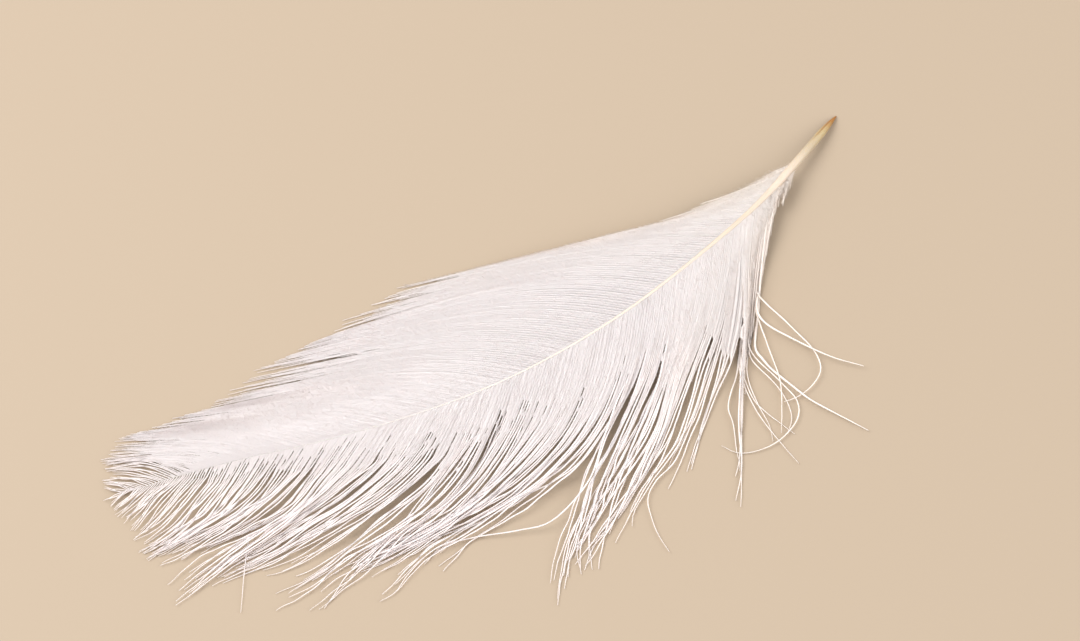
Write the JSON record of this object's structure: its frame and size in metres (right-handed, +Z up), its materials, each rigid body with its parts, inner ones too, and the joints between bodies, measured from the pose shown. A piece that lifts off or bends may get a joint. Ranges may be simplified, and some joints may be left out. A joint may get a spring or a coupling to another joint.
{
  "type": "hackle feather",
  "caption": "White hackle feather lying flat: a bare horn quill, a sabre-curved shaft, a narrow swept vane and a wide vane of long loose barbs.",
  "frame": {"origin": "on the floor that the feather lies on, at the centre of its bounding box seen from above", "axes": "+X from the feather's tip to its quill, +Y to the side of the narrow vane, +Z up from the floor"},
  "size_m": [0.1634, 0.0754, 0.0073],
  "materials": {
    "keratin": "matte"
  },
  "bodies": {
    "root": {"feather": "keratin"}
  },
  "joints": []
}
